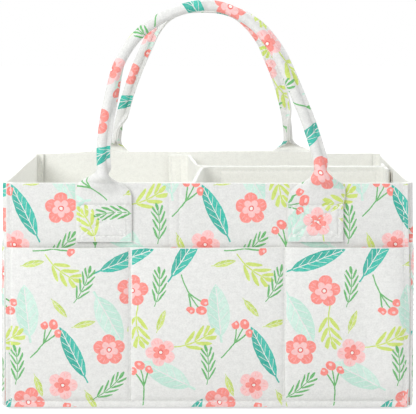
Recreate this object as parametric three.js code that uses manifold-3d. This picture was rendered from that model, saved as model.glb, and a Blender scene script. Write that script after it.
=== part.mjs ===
// A felt diaper caddy: an open box of printed felt with flat outer pockets on all four sides,
// two rolled felt handles sewn to the front and the back, and a lift-out divider that makes
// three compartments. Millimetres, +Z up, +X to the right and -Y to the front. The origin is on
// the floor, at the middle of the underside.
import * as THREE from "three";
import { mergeVertices } from "three/addons/utils/BufferGeometryUtils.js";
import Module from "manifold-3d";

const wasm = await Module();
wasm.setup();

// The body. Its width is that of the front panel at the rim.
const bodyWidth = 330;
const bodyDepth = 234;
const bodyHeight = 190;
const footFlare = 3.6; // how far each end wall stands out at the floor, past its rim
const feltThickness = 3;
const layerGap = 0.3; // between two layers that are sewn or laid together
const panelFoot = 1.5; // how far the walls' cut edges end above the floor

// The end walls turn in behind the front and back panels, which lap over them.
const cornerRadius = 4;
const endStandOut = 2.9; // how far an end wall shows past the front panel's cut edge
const cornerFlange = 9;

// The bottom is a cross-shaped blank with its four flaps turned up inside the walls.
const bottomFlapHeight = 12;
const bottomEndFlapInset = 9; // from the outside of the front panel to the end flap's cut edge
const bottomLongFlapInset = 12; // from the outside of the end wall to the long flap's cut edge
const boardThickness = 2;
const liningThickness = 2;
const boardPlay = 0.6;

// The outer pockets.
const pocketHeight = 137;
const pocketFelt = 2.4;
const pressedFelt = 1.2; // the pocket felt's thickness where a seam presses it
const pocketGape = 6; // how far the mouth of a pocket stands off at its middle
const pocketSeamHeight = 8; // the row that closes the pockets' foot
const frontPocketSeam = 63; // the two upright seams, from the middle
const cornerWrapAngle = 60; // how far an end pocket follows the corner's bend, in degrees
const gapePowerShare = 2.6;
const risePowerShare = 0.5;
const pressPowerShare = 6;

// The handles.
const handleFelt = 2;
const tabWidth = 46;
const tabAbovePocket = 4.4; // from the pockets' mouth to the tab's lower edge
const flareBelowRim = 14; // how far under the rim the flat tab begins to curl
const flareLength = 38; // along the strip, from flat to closed
const cutAlong = 30; // where the sewn end stops and the grip starts, along the strip
const tubeRadius = 3.4; // to the middle of the felt
const seamAllowance = 3;
const seamSplit = 0.5; // the gap between the two layers of the seam
const seamTwist = 55; // how far the seam turns round the grip, in degrees
const coreRadius = 2;
const coreInset = 12; // from the grip's end to the core's end
const tabHalfSpacing = 87.3;
const rimMargin = 6; // how far past the rim the strip keeps clear of the panel
const frontArchRise = 158;
const backArchRise = 154.4;
const archLean = 3; // how far the top of each arch leans in over the box

// Each arch's spine: how far to the side as a share of the tabs' half spacing, and how far above
// the flare's foot as a share of the rise.
const frontArchShares = [
  [-0.975, 0], [-0.994, 0.16], [-0.99, 0.31], [-0.922, 0.517], [-0.8, 0.724], [-0.588, 0.877],
  [-0.25, 0.979], [0.057, 1], [0.384, 0.923], [0.622, 0.775], [0.882, 0.468], [0.985, 0.31],
  [1.05, 0.175], [1.046, 0.09], [1.018, 0],
];
const backArchShares = [
  [-1.071, 0], [-1.02, 0.16], [-0.985, 0.29], [-0.887, 0.492], [-0.775, 0.66], [-0.69, 0.765],
  [-0.605, 0.86], [-0.475, 0.942], [-0.3, 0.986], [-0.05, 1], [0.2, 0.985], [0.37, 0.94],
  [0.57, 0.815], [0.66, 0.71], [0.8, 0.5], [0.882, 0.3], [0.905, 0.16], [0.926, 0],
];

// The divider: two felt leaves, sewn back to back along the middle wall.
const dividerBelowRim = 0.5;
const leafBend = 4.5;
const junctionBend = 14;
const flapLength = 20;
const middleWallY = 9;
const crossBackX = -18;
const crossFrontX = -11.5;
const junctionBackX = -9.3;
const junctionFrontX = -5;
const tapeThickness = 1.2;
const tapeWidth = 10;
const tapeBelowTop = 3.5; // from the divider's top to the tape's
const tapeLength = 48;
const frontTapeX = -27;
const backTapeX = -31;

// How finely round shapes are cut into flats.
const bendSteps = 6;
const halfSectionSteps = 5;
const flareSteps = 8;
const gripSteps = 46;
const coreSteps = 42;
const coreSides = 10;
const pocketRows = 7;
const pocketColumns = 10;

const halfWidth = bodyWidth / 2;
const halfDepth = bodyDepth / 2;
const endFace = halfWidth + endStandOut;
const tabBottom = pocketHeight + tabAbovePocket;
const flareFoot = bodyHeight - flareBelowRim;
const dividerTop = bodyHeight - dividerBelowRim;
const tapeTop = dividerTop - tapeBelowTop;
const tapeBottom = tapeTop - tapeLength;

// Materials, one for each kind of cloth
const cloth = (color) => new THREE.MeshStandardMaterial({ color, roughness: 0.95, metalness: 0 });
const printedFelt = cloth(0xf1efec);
const plainFelt = cloth(0xf3f2ea);
const fibreBoard = cloth(0xb79f7e);
const hookTape = cloth(0xe9e8e2);
const cottonCord = cloth(0xe6dfcf);

const caddy = new THREE.Group();

function add(name, geometry, material) {
  const mesh = new THREE.Mesh(geometry, material);
  mesh.name = name;
  caddy.add(mesh);
}

// Turns a closed mesh's faces outwards and gives it normals.
function facingOut(positions, triangles) {
  const corner = (n) => new THREE.Vector3().fromArray(positions, n * 3);
  let volume = 0;
  for (let i = 0; i < triangles.length; i += 3)
    volume += corner(triangles[i]).dot(corner(triangles[i + 1]).cross(corner(triangles[i + 2])));
  if (volume < 0) triangles.reverse();
  const geometry = new THREE.BufferGeometry();
  geometry.setAttribute("position", new THREE.Float32BufferAttribute(positions, 3));
  geometry.setIndex(triangles);
  geometry.computeVertexNormals();
  return geometry;
}

// A sheet with a thickness, from rows of points on its outer face and on its inner face.
function sheetBody(outerRows, innerRows) {
  const rows = outerRows.length - 1;
  const columns = outerRows[0].length - 1;
  const positions = [];
  for (const face of [outerRows, innerRows])
    for (const row of face) for (const point of row) positions.push(point.x, point.y, point.z);
  const index = (side, j, i) => (side * (rows + 1) + j) * (columns + 1) + i;
  const triangles = [];
  const quad = (a, b, c, d) => triangles.push(a, b, c, a, c, d);
  for (let j = 0; j < rows; j++)
    for (let i = 0; i < columns; i++) {
      quad(index(0, j, i), index(0, j, i + 1), index(0, j + 1, i + 1), index(0, j + 1, i));
      quad(index(1, j, i), index(1, j + 1, i), index(1, j + 1, i + 1), index(1, j, i + 1));
    }
  for (let i = 0; i < columns; i++) {
    quad(index(0, 0, i), index(1, 0, i), index(1, 0, i + 1), index(0, 0, i + 1));
    quad(index(0, rows, i), index(0, rows, i + 1), index(1, rows, i + 1), index(1, rows, i));
  }
  for (let j = 0; j < rows; j++) {
    quad(index(0, j, 0), index(0, j + 1, 0), index(1, j + 1, 0), index(1, j, 0));
    quad(index(0, j, columns), index(1, j, columns), index(1, j + 1, columns), index(0, j + 1, columns));
  }
  return facingOut(positions, triangles);
}

// A line of corners, each rounded to its radius.
function roundedLine(corners) {
  const line = [];
  corners.forEach(([x, y, radius], n) => {
    const here = new THREE.Vector2(x, y);
    if (!radius) return line.push(here);
    const before = new THREE.Vector2(...corners[n - 1]).sub(here).normalize();
    const after = new THREE.Vector2(...corners[n + 1]).sub(here).normalize();
    const halfTurn = Math.acos(before.dot(after)) / 2;
    const middle = before.clone().add(after).setLength(radius / Math.sin(halfTurn)).add(here);
    const start = before.clone().multiplyScalar(radius / Math.tan(halfTurn)).add(here).sub(middle);
    const end = after.clone().multiplyScalar(radius / Math.tan(halfTurn)).add(here).sub(middle);
    const sweep = Math.atan2(start.cross(end), start.dot(end));
    for (let i = 0; i <= bendSteps; i++)
      line.push(start.clone().rotateAround(new THREE.Vector2(), (sweep * i) / bendSteps).add(middle));
  });
  return line;
}

// The outline of felt that follows a line, half its thickness to each side.
function feltOutline(corners, thickness) {
  const line = roundedLine(corners);
  const sides = [1, -1].map((side) =>
    line.map((point, n) => {
      const into = point.clone().sub(line[Math.max(n - 1, 0)]).normalize();
      const out = line[Math.min(n + 1, line.length - 1)].clone().sub(point).normalize();
      const along = into.add(out).normalize();
      return new THREE.Vector2(-along.y, along.x).multiplyScalar((side * thickness) / 2).add(point);
    }),
  );
  return new THREE.Shape([...sides[0], ...sides[1].reverse()]);
}

// Felt that follows a line in plan and stands from one height to another.
function standingFelt(corners, bottom, top, thickness = feltThickness) {
  const depth = top - bottom;
  return new THREE.ExtrudeGeometry(feltOutline(corners, thickness), { depth, bevelEnabled: false })
    .translate(0, 0, bottom);
}

function block(x0, x1, y0, y1, z0, z1) {
  return new THREE.BoxGeometry(x1 - x0, y1 - y0, z1 - z0)
    .translate((x0 + x1) / 2, (y0 + y1) / 2, (z0 + z1) / 2);
}

// The end walls lean in towards the rim, and what is sewn to the body leans with them.
function leaning(geometry) {
  const position = geometry.getAttribute("position");
  for (let i = 0; i < position.count; i++) {
    const spread = 1 + (footFlare / halfWidth) * (1 - position.getZ(i) / bodyHeight);
    position.setX(i, position.getX(i) * spread);
  }
  geometry.computeVertexNormals();
  return geometry;
}

// Joins two closed bodies into one.
function joined(...geometries) {
  const solids = geometries.map((geometry) => {
    const bare = new THREE.BufferGeometry();
    bare.setAttribute("position", geometry.getAttribute("position"));
    if (geometry.index) bare.setIndex(geometry.index);
    const merged = mergeVertices(bare);
    const vertProperties = merged.getAttribute("position").array;
    const triVerts = new Uint32Array(merged.index.array);
    return new wasm.Manifold(new wasm.Mesh({ numProp: 3, vertProperties, triVerts }));
  });
  const mesh = solids.reduce((whole, solid) => whole.add(solid)).getMesh();
  return facingOut(Array.from(mesh.vertProperties), Array.from(mesh.triVerts));
}

// Front and back panels: flat felt, cut a little wider at the foot
const panelInside = halfDepth - feltThickness;
add("front_panel",
  leaning(block(-halfWidth, halfWidth, -halfDepth, -panelInside, panelFoot, bodyHeight)), printedFelt);
add("back_panel",
  leaning(block(-halfWidth, halfWidth, panelInside, halfDepth, panelFoot, bodyHeight)), printedFelt);

// End walls: each turns in at both corners, behind the panels that lap over it
const flangeY = panelInside - layerGap - feltThickness / 2;
const endMiddle = endFace - feltThickness / 2;
const wallBend = cornerRadius - feltThickness / 2;
for (const [name, side] of [["left_side_panel", -1], ["right_side_panel", 1]]) {
  const corners = [
    [side * (endFace - cornerFlange), -flangeY],
    [side * endMiddle, -flangeY, wallBend],
    [side * endMiddle, flangeY, wallBend],
    [side * (endFace - cornerFlange), flangeY],
  ];
  if (side < 0) corners.reverse();
  add(name, leaning(standingFelt(corners, panelFoot, bodyHeight)), printedFelt);
}

// Bottom: one blank whose flaps stand up inside the walls, with its four corners cut away
const flapX = endFace - feltThickness - layerGap - feltThickness / 2;
const flapY = panelInside - layerGap - feltThickness / 2;
const floorMiddle = feltThickness / 2;
const trough = (reach, halfLength) =>
  new THREE.ExtrudeGeometry(
    feltOutline([
      [-reach, bottomFlapHeight],
      [-reach, floorMiddle, wallBend],
      [reach, floorMiddle, wallBend],
      [reach, bottomFlapHeight],
    ], feltThickness),
    { depth: 2 * halfLength, bevelEnabled: false },
  ).rotateX(Math.PI / 2).translate(0, halfLength, 0);
const acrossBottom = trough(flapX, halfDepth - bottomEndFlapInset);
const alongBottom = trough(flapY, endFace - bottomLongFlapInset).rotateZ(Math.PI / 2);
add("bottom_panel", leaning(joined(acrossBottom, alongBottom)), printedFelt);

// A stiff board lies on the bottom, and a felt lining covers it
const boardX = flapX - feltThickness / 2 - boardPlay;
const boardY = flapY - feltThickness / 2 - boardPlay;
const boardBottom = feltThickness + layerGap;
const liningBottom = boardBottom + boardThickness + layerGap;
const liningTop = liningBottom + liningThickness;
add("base_board",
  leaning(block(-boardX, boardX, -boardY, boardY, boardBottom, boardBottom + boardThickness)), fibreBoard);
add("bottom_lining",
  leaning(block(-boardX, boardX, -boardY, boardY, liningBottom, liningTop)), plainFelt);

// Pockets: one sheet on each side, held down at its foot, its ends and its upright seams, and
// standing off between them. The heights and the columns of its grid are shares.
function pocketSheet(seams, place) {
  const columns = [];
  for (let n = 1; n < seams.length; n++)
    for (let i = n > 1 ? 1 : 0; i <= pocketColumns; i++)
      columns.push({ along: THREE.MathUtils.lerp(seams[n - 1], seams[n], i / pocketColumns), share: i / pocketColumns });
  if (place.before) columns.unshift(...place.before);
  if (place.after) columns.push(...place.after);
  const heights = [panelFoot];
  for (let j = 0; j < pocketRows; j++)
    heights.push(THREE.MathUtils.lerp(pocketSeamHeight, pocketHeight, j / (pocketRows - 1)));
  const face = (isOuter) =>
    heights.map((height) => {
      const riseShare = Math.max(height - pocketSeamHeight, 0) / (pocketHeight - pocketSeamHeight);
      return columns.map(({ along, share }) => {
        const across = Math.abs(2 * share - 1);
        const gape = pocketGape * (1 - across ** gapePowerShare) * riseShare ** risePowerShare;
        const felt = pressedFelt + (pocketFelt - pressedFelt) * (1 - across ** pressPowerShare);
        return place.at(along, layerGap + gape + (isOuter ? felt : 0), height);
      });
    });
  return sheetBody(face(true), face(false));
}

const longSeams = [-halfWidth, -frontPocketSeam, frontPocketSeam, halfWidth];
for (const [name, side] of [["front_pocket", -1], ["back_pocket", 1]]) {
  const at = (along, out, height) => new THREE.Vector3(along, side * (halfDepth + out), height);
  add(name, leaning(pocketSheet(longSeams, { at })), printedFelt);
}

// An end pocket runs from corner to corner, and wraps part of each bend
const bendStart = flangeY + feltThickness / 2 - cornerRadius;
const bendMiddleX = endFace - cornerRadius;
const wrapColumns = [1, 2, 3].map((step) => ({
  along: bendStart + (step / 3) * THREE.MathUtils.degToRad(cornerWrapAngle) * cornerRadius,
  share: 1,
}));
for (const [name, side] of [["left_pocket", -1], ["right_pocket", 1]]) {
  const at = (along, out, height) => {
    const past = Math.max(Math.abs(along) - bendStart, 0) / cornerRadius;
    const reach = cornerRadius + out;
    const x = bendMiddleX + reach * Math.cos(past);
    const y = Math.min(Math.abs(along), bendStart) + reach * Math.sin(past);
    return new THREE.Vector3(side * x, Math.sign(along) * y, height);
  };
  const before = wrapColumns.map(({ along, share }) => ({ along: -along, share })).reverse();
  add(name, leaning(pocketSheet([-bendStart, 0, bendStart], { at, before, after: wrapColumns })), printedFelt);
}

// Handles: one strip of felt for each. Its two ends lie flat on the panel as tabs, then curl and
// close into a tube round a cord, with the seam's two layers standing out behind.
const closedHalfAngle = Math.PI - Math.asin((handleFelt + seamSplit) / 2 / tubeRadius);
const tabArcHalf = tabWidth / 2 - seamAllowance;
const tubeArcHalf = tubeRadius * closedHalfAngle;
const rimShare = (bodyHeight + rimMargin - flareFoot) / flareLength;
const seamFoldStartShare = 0.6;
const leanPowerShare = 1.3;

// The strip's section at a share of the way from flat to closed: points on the middle of the
// felt, to the side and behind the spine, with the direction in which its outer face lies.
function stripSection(closingShare, twist = 0) {
  const easeShare = THREE.MathUtils.smoothstep(closingShare, 0, 1);
  const halfAngle = Math.max(easeShare * closedHalfAngle, 1e-4);
  const radius = THREE.MathUtils.lerp(tabArcHalf, tubeArcHalf, easeShare) / halfAngle;
  const foldShare = THREE.MathUtils.smoothstep(closingShare, seamFoldStartShare, 1);
  const seamAngle = halfAngle - foldShare * (closedHalfAngle - Math.PI / 2);
  const section = [];
  for (let i = 0; i <= halfSectionSteps; i++) {
    const angle = (halfAngle * i) / halfSectionSteps;
    section.push({
      point: new THREE.Vector2(radius * Math.sin(angle), -radius * Math.cos(angle)),
      out: new THREE.Vector2(Math.sin(angle), -Math.cos(angle)),
    });
  }
  const corner = section[halfSectionSteps];
  const seamOut = new THREE.Vector2(Math.sin(seamAngle), -Math.cos(seamAngle));
  const end = new THREE.Vector2(Math.cos(seamAngle), Math.sin(seamAngle)).multiplyScalar(seamAllowance).add(corner.point);
  const share = 1 / (1 + corner.out.dot(seamOut));
  corner.out = corner.out.clone().add(seamOut).multiplyScalar(share);
  section.push({ point: end, out: seamOut });
  const mirrored = section.slice(1).reverse().map(({ point, out }) => ({
    point: new THREE.Vector2(-point.x, point.y),
    out: new THREE.Vector2(-out.x, out.y),
  }));
  return [...mirrored, ...section].map(({ point, out }) => {
    const turned = point.clone().rotateAround(new THREE.Vector2(), twist);
    return { side: turned.x, behind: turned.y + radius, out: out.clone().rotateAround(new THREE.Vector2(), twist) };
  });
}

const behindOf = (closingShare) =>
  Math.max(...stripSection(Math.min(closingShare, rimShare)).map(({ behind }) => behind));

function handle(prefix, facing, rise, archShares) {
  const spine = new THREE.CatmullRomCurve3(
    archShares.map(([sideShare, riseShare]) =>
      new THREE.Vector3(sideShare * tabHalfSpacing, 0, flareFoot + riseShare * rise)),
    false, "centripetal");
  const length = spine.getLength();
  const panelFace = halfDepth + layerGap + handleFelt / 2;

  // The strip's frame at a distance along the spine. Below the flare's foot it runs straight down.
  const frameAt = (distance) => {
    const share = THREE.MathUtils.clamp(distance / length, 0, 1);
    const beyond = Math.max(-distance, distance - length, 0);
    const point = spine.getPointAt(share);
    const tangent = spine.getTangentAt(share);
    if (beyond) {
      point.z -= beyond;
      tangent.set(0, 0, Math.sign(length / 2 - distance));
    }
    const closingShare = THREE.MathUtils.clamp(Math.min(distance, length - distance) / flareLength, 0, 1);
    const leanShare = Math.max(point.z - bodyHeight, 0) / (flareFoot + rise - bodyHeight);
    point.y = facing * (panelFace + behindOf(closingShare) - archLean * leanShare ** leanPowerShare);
    const inward = new THREE.Vector3(tangent.z, 0, -tangent.x);
    const gripShare = THREE.MathUtils.clamp((distance - flareLength) / (length - 2 * flareLength), 0, 1);
    const twist = -THREE.MathUtils.degToRad(seamTwist) * Math.sin(2 * Math.PI * gripShare);
    return { point, inward, closingShare, twist };
  };
  const placed = (frame, side, behind) =>
    frame.point.clone().addScaledVector(frame.inward, side).add(new THREE.Vector3(0, -facing * behind, 0));
  const rows = (distances, thickness) =>
    distances.map((distance) => {
      const frame = frameAt(distance);
      return stripSection(frame.closingShare, frame.twist).map(({ side, behind, out }) =>
        placed(frame, side + out.x * thickness, behind + out.y * thickness));
    });
  const felt = (distances) => sheetBody(rows(distances, handleFelt / 2), rows(distances, -handleFelt / 2));

  const endDistances = [tabBottom - flareFoot];
  for (let i = 0; i <= flareSteps; i++) endDistances.push((cutAlong * i) / flareSteps);
  add(`${prefix}_handle_left_end`, felt(endDistances), printedFelt);
  add(`${prefix}_handle_right_end`, felt(endDistances.map((distance) => length - distance).reverse()), printedFelt);

  const gripStart = cutAlong + layerGap;
  const gripDistances = [gripStart];
  for (let i = 0; i <= gripSteps; i++)
    gripDistances.push(THREE.MathUtils.lerp(flareLength, length - flareLength, i / gripSteps));
  gripDistances.push(length - gripStart);
  add(`${prefix}_handle_grip`, felt(gripDistances), printedFelt);

  const coreRings = [];
  for (let j = 0; j <= coreSteps; j++) {
    const coreStart = gripStart + coreInset;
    const frame = frameAt(THREE.MathUtils.lerp(coreStart, length - coreStart, j / coreSteps));
    const ring = [];
    for (let i = 0; i < coreSides; i++) {
      const angle = (2 * Math.PI * i) / coreSides;
      ring.push(placed(frame, coreRadius * Math.sin(angle), tubeRadius - coreRadius * Math.cos(angle)));
    }
    coreRings.push(ring);
  }
  add(`${prefix}_handle_core`, rod(coreRings), cottonCord);
}

// A solid rod through rings of points, closed at both ends.
function rod(rings) {
  const sides = rings[0].length;
  const positions = rings.flat().flatMap((point) => point.toArray());
  const triangles = [];
  const index = (j, i) => j * sides + (i % sides);
  for (let j = 0; j < rings.length - 1; j++)
    for (let i = 0; i < sides; i++)
      triangles.push(index(j, i), index(j, i + 1), index(j + 1, i + 1), index(j, i), index(j + 1, i + 1), index(j + 1, i));
  for (let i = 1; i < sides - 1; i++) {
    triangles.push(index(0, 0), index(0, i + 1), index(0, i));
    triangles.push(index(rings.length - 1, 0), index(rings.length - 1, i), index(rings.length - 1, i + 1));
  }
  return facingOut(positions, triangles);
}

handle("front", -1, frontArchRise, frontArchShares);
handle("back", 1, backArchRise, backArchShares);

// Divider: each leaf is a flap on one long wall, half of the cross wall, one layer of the middle
// wall and a flap on the right-hand end wall. Hook tape on the flaps grips loop tape on the walls.
const tapeStack = 2 * tapeThickness + 3 * layerGap;
const flapFaceY = panelInside - tapeStack - feltThickness / 2;
const flapFaceX = endFace - feltThickness - tapeStack - feltThickness / 2;
const leafOffset = (feltThickness + layerGap) / 2;
const dividerBottom = liningTop + layerGap;
const leaf = (side, crossX, junctionX) => {
  const wallY = middleWallY + side * leafOffset;
  return standingFelt([
    [crossX - flapLength, side * flapFaceY],
    [crossX, side * flapFaceY, leafBend],
    [junctionX, wallY, junctionBend],
    [flapFaceX, wallY, leafBend],
    [flapFaceX, wallY + side * flapLength],
  ], dividerBottom, dividerTop);
};
add("divider_front_leaf", leaf(-1, crossFrontX, junctionFrontX), plainFelt);
add("divider_back_leaf", leaf(1, crossBackX, junctionBackX), plainFelt);

const hookStart = layerGap + feltThickness / 2;
const loopStart = hookStart + tapeThickness + layerGap;
for (const [name, side, middleX] of [["front", -1, frontTapeX], ["back", 1, backTapeX]]) {
  const strip = (start) => {
    const near = side * (flapFaceY + start);
    const far = side * (flapFaceY + start + tapeThickness);
    const x0 = middleX - tapeWidth / 2;
    return block(x0, x0 + tapeWidth, Math.min(near, far), Math.max(near, far), tapeBottom, tapeTop);
  };
  add(`${name}_hook_tape`, strip(hookStart), hookTape);
  add(`${name}_loop_tape`, strip(loopStart), hookTape);
}
for (const [name, side] of [["right_front", -1], ["right_back", 1]]) {
  const strip = (start) => {
    const near = flapFaceX + start;
    const middleY = middleWallY + side * (leafOffset + flapLength - tapeWidth / 2 - feltThickness);
    const y0 = middleY - tapeWidth / 2;
    return block(near, near + tapeThickness, y0, y0 + tapeWidth, tapeBottom, tapeTop);
  };
  add(`${name}_hook_tape`, strip(hookStart), hookTape);
  add(`${name}_loop_tape`, leaning(strip(loopStart)), hookTape);
}

export default caddy;
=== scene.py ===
# A felt diaper caddy: an open box of printed felt with outer pockets, two rolled felt handles and a
# lift-out divider. Metres, +Z up, +X to the right and -Y to the front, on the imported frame.
import functools
import math

import bpy
import numpy as np
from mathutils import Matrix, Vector, noise


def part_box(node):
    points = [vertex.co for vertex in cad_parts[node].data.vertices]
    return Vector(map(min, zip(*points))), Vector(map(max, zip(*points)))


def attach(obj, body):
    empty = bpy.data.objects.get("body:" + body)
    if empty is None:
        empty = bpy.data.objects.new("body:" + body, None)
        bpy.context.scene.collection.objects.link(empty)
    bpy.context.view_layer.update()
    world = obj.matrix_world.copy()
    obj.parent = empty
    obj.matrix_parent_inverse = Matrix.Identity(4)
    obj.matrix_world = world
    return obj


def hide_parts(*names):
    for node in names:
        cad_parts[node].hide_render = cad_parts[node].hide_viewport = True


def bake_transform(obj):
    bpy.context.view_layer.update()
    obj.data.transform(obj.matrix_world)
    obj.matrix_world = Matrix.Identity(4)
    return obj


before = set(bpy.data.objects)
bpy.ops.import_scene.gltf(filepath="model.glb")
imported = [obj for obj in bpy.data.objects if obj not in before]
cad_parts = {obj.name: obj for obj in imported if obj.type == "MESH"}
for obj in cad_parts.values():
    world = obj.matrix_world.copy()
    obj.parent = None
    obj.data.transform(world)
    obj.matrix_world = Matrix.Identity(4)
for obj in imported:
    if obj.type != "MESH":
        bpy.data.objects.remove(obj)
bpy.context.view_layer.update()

# The camera
# It stands 1.2 m in front of the box, level with the top of the handles, and looks a little down, so
# that the far rim and the divider show over the near rim.
image_width = 416
focal_length_in_pixels = 1464.7
looking_down = math.asin(0.1415)
camera = bpy.data.objects.new("camera", bpy.data.cameras.new("camera"))
camera.data.sensor_fit = "HORIZONTAL"
camera.data.sensor_width = 36
camera.data.lens = camera.data.sensor_width * focal_length_in_pixels / image_width
camera.location = (0.0005, -1.307, 0.3403)
camera.rotation_euler = (math.pi / 2 - looking_down, 0, 0)
bpy.context.collection.objects.link(camera)
bpy.context.scene.camera = camera
bpy.context.scene.view_settings.view_transform = "Standard"


# The studio
# A white room: even light from all around, a broad soft lamp near on the left, two weaker ones on the
# right, the lower of them for the end wall, and one high behind that shines down into the open box. The
# camera sees plain white past the caddy, and on the floor only the caddy's own shadow.
def join(value, socket):
    """Sets a socket to a plain value, or links it to another node's output."""
    if isinstance(value, bpy.types.NodeSocket):
        socket.id_data.links.new(value, socket)
    else:
        socket.default_value = value


def new_node(kind, values, tree=None, **settings):
    """The outputs of a new shader node, which goes in the given tree or in that of what it takes."""
    taken = [value for value in values.values() if isinstance(value, bpy.types.NodeSocket)]
    made = (tree or taken[0].id_data).nodes.new("ShaderNode" + kind)
    for setting, value in settings.items():
        setattr(made, setting, value)
    for socket, value in values.items():
        join(value, made.inputs[socket])
    return made.outputs


def number(operation, *values):
    return new_node("Math", dict(enumerate(values)), operation=operation)[0]


def painted(under, over, mask):
    """The colour under, with the colour over on top of it where the mask is 1."""
    return new_node("Mix", {0: mask, 6: under, 7: over}, data_type="RGBA")[2]


def new_finish(name, plain_values):
    """A material whose shader has these plain values, and the shader's sockets."""
    finish = bpy.data.materials.new(name)
    finish.use_nodes = True
    shader = finish.node_tree.nodes["Principled BSDF"].inputs
    for socket, value in plain_values.items():
        shader[socket].default_value = value
    return finish, shader


world = bpy.data.worlds.new("white room")
world.use_nodes = True
bpy.context.scene.world = world
room = world.node_tree
room.nodes.clear()
surround = new_node("Background", {"Color": (0.97, 0.985, 1, 1), "Strength": 0.54}, room)
white_view = new_node("Background", {"Color": (1, 1, 1, 1)}, room)
camera_ray = new_node("LightPath", {}, room)["Is Camera Ray"]
either = new_node("MixShader", {0: camera_ray, 1: surround[0], 2: white_view[0]})
new_node("OutputWorld", {"Surface": either[0]})

lamps_aim = Vector((0, 0, 0.15))
for name, place, size, power in [
    ("key lamp", (-1.1, -1.3, 1.3), 1.2, 24.5),
    ("fill lamp", (1.5, -1.4, 1.4), 1.4, 2),
    ("top lamp", (0.3, 0.75, 1.5), 1.2, 15),
    ("side lamp", (1.3, 0.05, 0.22), 0.5, 2),
]:
    lamp = bpy.data.objects.new(name, bpy.data.lights.new(name, "AREA"))
    lamp.data.shape = "DISK"
    lamp.data.size = size
    lamp.data.energy = power
    lamp.location = place
    lamp.rotation_euler = (lamps_aim - Vector(place)).to_track_quat("-Z", "Y").to_euler()
    bpy.context.collection.objects.link(lamp)

floor_clearance = 0.0004
floor_lit_tone = (0.78, 0.78, 0.78, 1)
floor_seen_tone = (0.7, 0.7, 0.7, 1)
floor_glow = 0.66
bpy.ops.object.select_all(action="DESELECT")
bpy.ops.mesh.primitive_plane_add(size=12, location=(0, 0, -floor_clearance))
floor = bpy.context.object
floor.name = "floor"
floor_finish, shader = new_finish(
    "white floor", {"Roughness": 0.9, "Specular IOR Level": 0, "Emission Color": (1, 1, 1, 1)}
)
seen = new_node("LightPath", {}, floor_finish.node_tree)["Is Camera Ray"]
join(painted(floor_lit_tone, floor_seen_tone, seen), shader["Base Color"])
join(number("MULTIPLY", seen, floor_glow), shader["Emission Strength"])
floor.data.materials.append(floor_finish)

# The front and back walls
# Flat pieces of 3 mm needled felt, printed on the outer face and a little wider at the foot. The end
# walls turn in behind them, and a row of stitches near each upright edge holds both together.
times = functools.partial(number, "MULTIPLY")
times_plus = functools.partial(number, "MULTIPLY_ADD")
to_power = functools.partial(number, "POWER")
larger = functools.partial(number, "MAXIMUM")
below = functools.partial(number, "LESS_THAN")
near_to = functools.partial(number, "COMPARE")


def arrow(operation, *values):
    made = new_node("VectorMath", dict(enumerate(values)), operation=operation)
    return made["Value" if operation == "LENGTH" else "Vector"]


def parts_of(where):
    made = new_node("SeparateXYZ", {"Vector": where})
    return made["X"], made["Y"]


def cloud(where, scale, detail=3.0, roughness=0.55):
    values = {"Vector": where, "Scale": scale, "Detail": detail, "Roughness": roughness}
    return new_node("TexNoise", values)


def new_group(name, inputs, outputs):
    """A shader node group, and its sockets as they look from inside."""
    tree = bpy.data.node_groups.new(name, "ShaderNodeTree")
    for direction, sockets in (("INPUT", inputs), ("OUTPUT", outputs)):
        for socket, kind in sockets.items():
            tree.interface.new_socket(socket, in_out=direction, socket_type="NodeSocket" + kind)
    return tree, tree.nodes.new("NodeGroupInput").outputs, tree.nodes.new("NodeGroupOutput").inputs


def colour(code):
    """A colour written as a web code, as the linear values that a shader takes."""
    shares = [int(code[i:i + 2], 16) / 255 for i in (0, 2, 4)]
    return [s / 12.92 if s < 0.04045 else ((s + 0.055) / 1.055) ** 2.4 for s in shares] + [1]


# The felt itself: short matted fibres, in small tufts, with faint rows from the felting needles
felt_surface, inside, out = new_group(
    "felt surface", {"Place": "Vector"}, {"Height": "Float", "Mottle": "Float"}
)
needle_rows_radians_per_metre = 5600
tuft_share = 0.6
fibres = cloud(inside["Place"], 700, 6, 0.7)["Fac"]
tufts = cloud(inside["Place"], 230, 3, 0.6)["Fac"]
needle_rows = times(*[
    number("SINE", times(way, needle_rows_radians_per_metre)) for way in parts_of(inside["Place"])
])
for output, row_share in (("Height", 0.2), ("Mottle", 0.045)):
    join(times_plus(tufts, tuft_share, times_plus(needle_rows, row_share, fibres)), out[output])

# The print's motifs. Each is drawn round its own middle, and reaches 1 unit along and across.
leaf, inside, out = new_group(
    "leaf",
    {"Place": "Vector", "Vein spacing": "Float", "Vein width": "Float", "Light": "Color", "Dark": "Color"},
    {"Mask": "Float", "Colour": "Color"},
)
along, side = parts_of(inside["Place"])
across = number("ABSOLUTE", side)
from_stalk = larger(times_plus(along, 0.568, 0.443), 0)
from_tip = larger(number("SUBTRACT", 1, from_stalk), 0)
outline = times(times(to_power(from_stalk, 0.72), to_power(from_tip, 0.85)), 1.95)
from_vein = number("PINGPONG", times_plus(across, -0.6, along), times(inside["Vein spacing"], 0.5))
vein = times(below(from_vein, inside["Vein width"]), below(across, times(outline, 0.82)))
midrib = times(below(across, 0.036), below(along, 0.86))
stalk = times(below(across, 0.07), near_to(along, -0.85, 0.14))
blade = times(below(across, outline), number("SUBTRACT", 1, larger(vein, midrib)))
join(larger(blade, stalk), out["Mask"])
join(painted(inside["Light"], inside["Dark"], number("GREATER_THAN", side, 0)), out["Colour"])

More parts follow.
